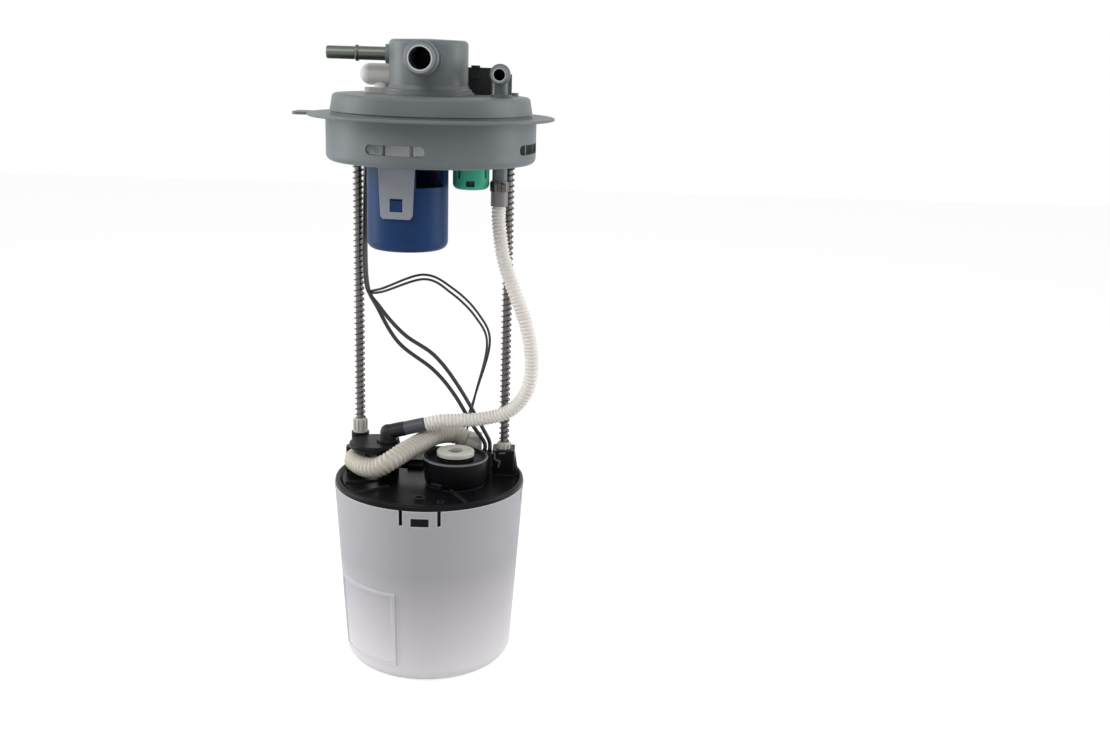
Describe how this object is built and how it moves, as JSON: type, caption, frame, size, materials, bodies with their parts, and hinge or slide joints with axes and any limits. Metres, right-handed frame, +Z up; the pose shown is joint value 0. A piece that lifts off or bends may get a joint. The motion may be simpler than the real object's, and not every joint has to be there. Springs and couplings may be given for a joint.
{
  "type": "in-tank fuel pump module",
  "caption": "In-tank fuel pump module: a round tank flange with vent dome and pipes, sprung guide rods, vent valves and a cup reservoir that holds the pump and level sender.",
  "frame": {"origin": "centre of the flange lip's underside, the face that seats on the tank", "axes": "+Z up out of the tank, -Y towards the big vent port and the outlet elbow, +X towards the outlet elbow's side"},
  "size_m": [0.164, 0.1565, 0.411],
  "materials": {
    "flange_grey": "satin",
    "dome_grey": "satin",
    "tube_steel": "satin",
    "sensor_white": "satin",
    "seal_rubber": "matte",
    "black_plastic": "satin",
    "terminal_brass": "polished",
    "carrier_grey": "satin",
    "valve_blue": "satin",
    "valve_green": "satin",
    "float_white": "matte",
    "spring_steel": "satin",
    "rod_steel": "satin",
    "hose_white": "satin",
    "hose_cuff_grey": "satin",
    "cuff_pale_grey": "satin",
    "hose_warm_grey": "satin",
    "wire_black": "satin",
    "reservoir_grey": "satin",
    "cover_black": "gloss",
    "bush_white": "matte",
    "case_steel": "satin",
    "carbon": "matte",
    "magnet_ferrite": "matte",
    "winding_copper": "satin",
    "impeller_phenolic": "matte",
    "sock_mesh": "matte",
    "valve_rubber": "matte",
    "float_nitrile": "matte"
  },
  "bodies": {
    "flange": {"flange": "flange_grey", "valve_carrier": "carrier_grey", "vent_dome": "dome_grey", "vapour_tube": "tube_steel", "pressure_sensor": "sensor_white", "sensor_grommet": "seal_rubber", "electrical_connector": "black_plastic", "connector_pins": "terminal_brass", "harness_plug": "black_plastic", "outlet_elbow": "dome_grey", "outlet_cuff": "cuff_pale_grey", "hose_clamp": "spring_steel", "vent_valve_can": "valve_blue", "vent_valve_cap": "valve_blue", "vent_valve_seal": "valve_rubber", "vent_valve_spring": "rod_steel", "rollover_valve_body": "valve_green", "rollover_valve_cap": "valve_green", "guide_rod_left": "rod_steel", "guide_rod_right": "rod_steel", "rod_clip_left": "spring_steel", "rod_clip_right": "spring_steel", "spring_left": "spring_steel", "spring_right": "spring_steel", "feed_hose": "hose_white", "pump_wire_power": "wire_black", "pump_wire_ground": "wire_black", "sender_wire_signal": "wire_black", "sender_wire_return": "wire_black"},
    "vent_float": {"vent_valve_float": "float_white"},
    "rollover_float": {"rollover_valve_float": "float_nitrile"},
    "reservoir": {"reservoir": "reservoir_grey", "reservoir_cover": "cover_black", "rod_bush_left": "bush_white", "rod_bush_right": "bush_white", "outlet_manifold": "cover_black", "manifold_elbow": "black_plastic", "manifold_cuff": "hose_cuff_grey", "transfer_hose": "hose_warm_grey", "transfer_fitting": "bush_white", "isolator_disc": "bush_white", "pump_plug": "black_plastic", "ground_clip": "rod_steel", "pump_case": "case_steel", "pump_end_bell": "black_plastic", "pump_brushes": "carbon", "field_magnets": "magnet_ferrite", "pump_base": "black_plastic", "strainer": "sock_mesh", "jet_pump": "black_plastic", "foot_valve": "valve_rubber", "sender_housing": "black_plastic", "sender_plug": "black_plastic"},
    "pump_rotor": {"motor_shaft": "rod_steel", "armature": "winding_copper", "commutator": "winding_copper", "impeller": "impeller_phenolic"},
    "float_arm": {"float_hub": "bush_white", "float_arm": "rod_steel", "level_float": "float_nitrile"}
  },
  "joints": [
    {"name": "reservoir_slide", "type": "slide", "parent": "flange", "child": "reservoir", "axis": [0, 0, 1], "range_m": [0, 0.06], "stiffness_N_per_m": 300, "springref_m": -0.05, "deforming": ["spring_left", "spring_right", "feed_hose", "pump_wire_power", "pump_wire_ground", "sender_wire_signal", "sender_wire_return"]},
    {"name": "level_float_swing", "type": "hinge", "parent": "reservoir", "child": "float_arm", "pos_m": [0.018, 0.072, -0.28], "axis": [0, 1, 0], "range_deg": [0, 95]},
    {"name": "rotor_spin", "type": "hinge", "parent": "reservoir", "child": "pump_rotor", "pos_m": [0.018, -0.01, -0.29], "axis": [0, 0, 1], "continuous": true},
    {"name": "vent_float_lift", "type": "slide", "parent": "flange", "child": "vent_float", "axis": [0, 0, 1], "range_m": [0, 0.006], "deforming": ["vent_valve_spring"]},
    {"name": "rollover_float_lift", "type": "slide", "parent": "flange", "child": "rollover_float", "axis": [0, 0, 1], "range_m": [0, 0.003]}
  ]
}
